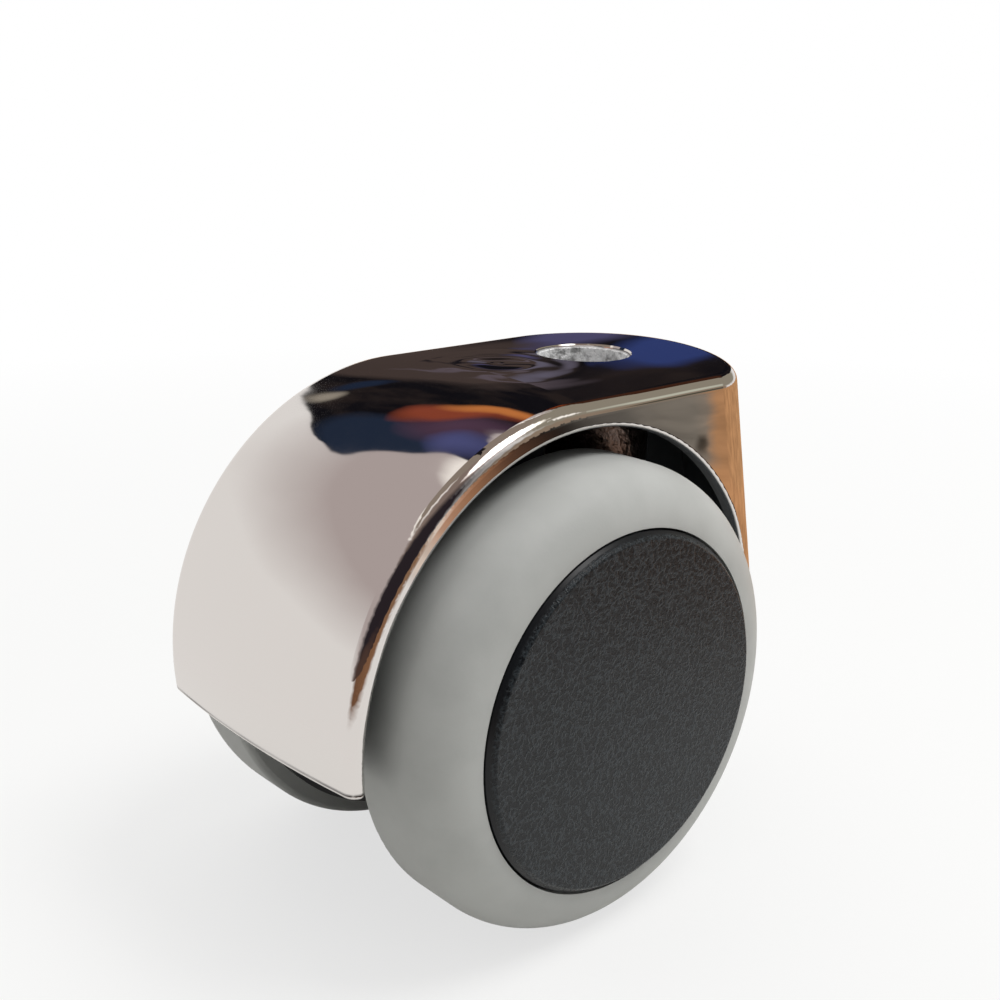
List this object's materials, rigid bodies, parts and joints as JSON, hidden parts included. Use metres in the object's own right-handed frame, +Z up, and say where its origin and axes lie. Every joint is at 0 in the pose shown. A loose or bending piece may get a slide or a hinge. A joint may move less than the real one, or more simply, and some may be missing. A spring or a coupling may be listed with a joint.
{
  "type": "twin wheel castor",
  "caption": "Hooded twin wheel castor with a chromed one-piece casting, a stem socket on top and two soft-tread wheels on a fixed axle.",
  "frame": {"origin": "on the stem axis, where the socket's straight wall ends below its chamfered mouth, 0.5 mm under the top of the hood", "axes": "+X towards the hood's nose, away from the axle; +Y to the left wheel, along the axle; +Z up, out of the socket"},
  "size_m": [0.0669, 0.0484, 0.0565],
  "materials": {
    "chrome_plating": "bright chrome plate on a zinc die casting",
    "bare_steel": "bright turned steel",
    "acetal": "natural white, smooth",
    "black_nylon": "moulded, low sheen",
    "grey_tread": "satin moulded thermoplastic rubber",
    "charcoal_cap": "fine spark texture with a smooth shoulder"
  },
  "bodies": {
    "castor_body": {"hood_casting": "chrome_plating", "stem_thrust_disc": "bare_steel", "axle": "bare_steel", "left_inner_washer": "acetal", "left_outer_washer": "acetal", "left_retaining_clip": "bare_steel", "right_inner_washer": "acetal", "right_outer_washer": "acetal", "right_retaining_clip": "bare_steel"},
    "left_wheel": {"left_wheel_core": "black_nylon", "left_tread": "grey_tread", "left_hub_cap": "charcoal_cap", "left_wheel_bush": "acetal"},
    "right_wheel": {"right_wheel_core": "black_nylon", "right_tread": "grey_tread", "right_hub_cap": "charcoal_cap", "right_wheel_bush": "acetal"}
  },
  "joints": [
    {"name": "left_wheel_spin", "type": "hinge", "parent": "castor_body", "child": "left_wheel", "pos_m": [-0.0162, 0, -0.031], "axis": [0, 1, 0], "continuous": true},
    {"name": "right_wheel_spin", "type": "hinge", "parent": "castor_body", "child": "right_wheel", "pos_m": [-0.0162, 0, -0.031], "axis": [0, 1, 0], "continuous": true}
  ]
}
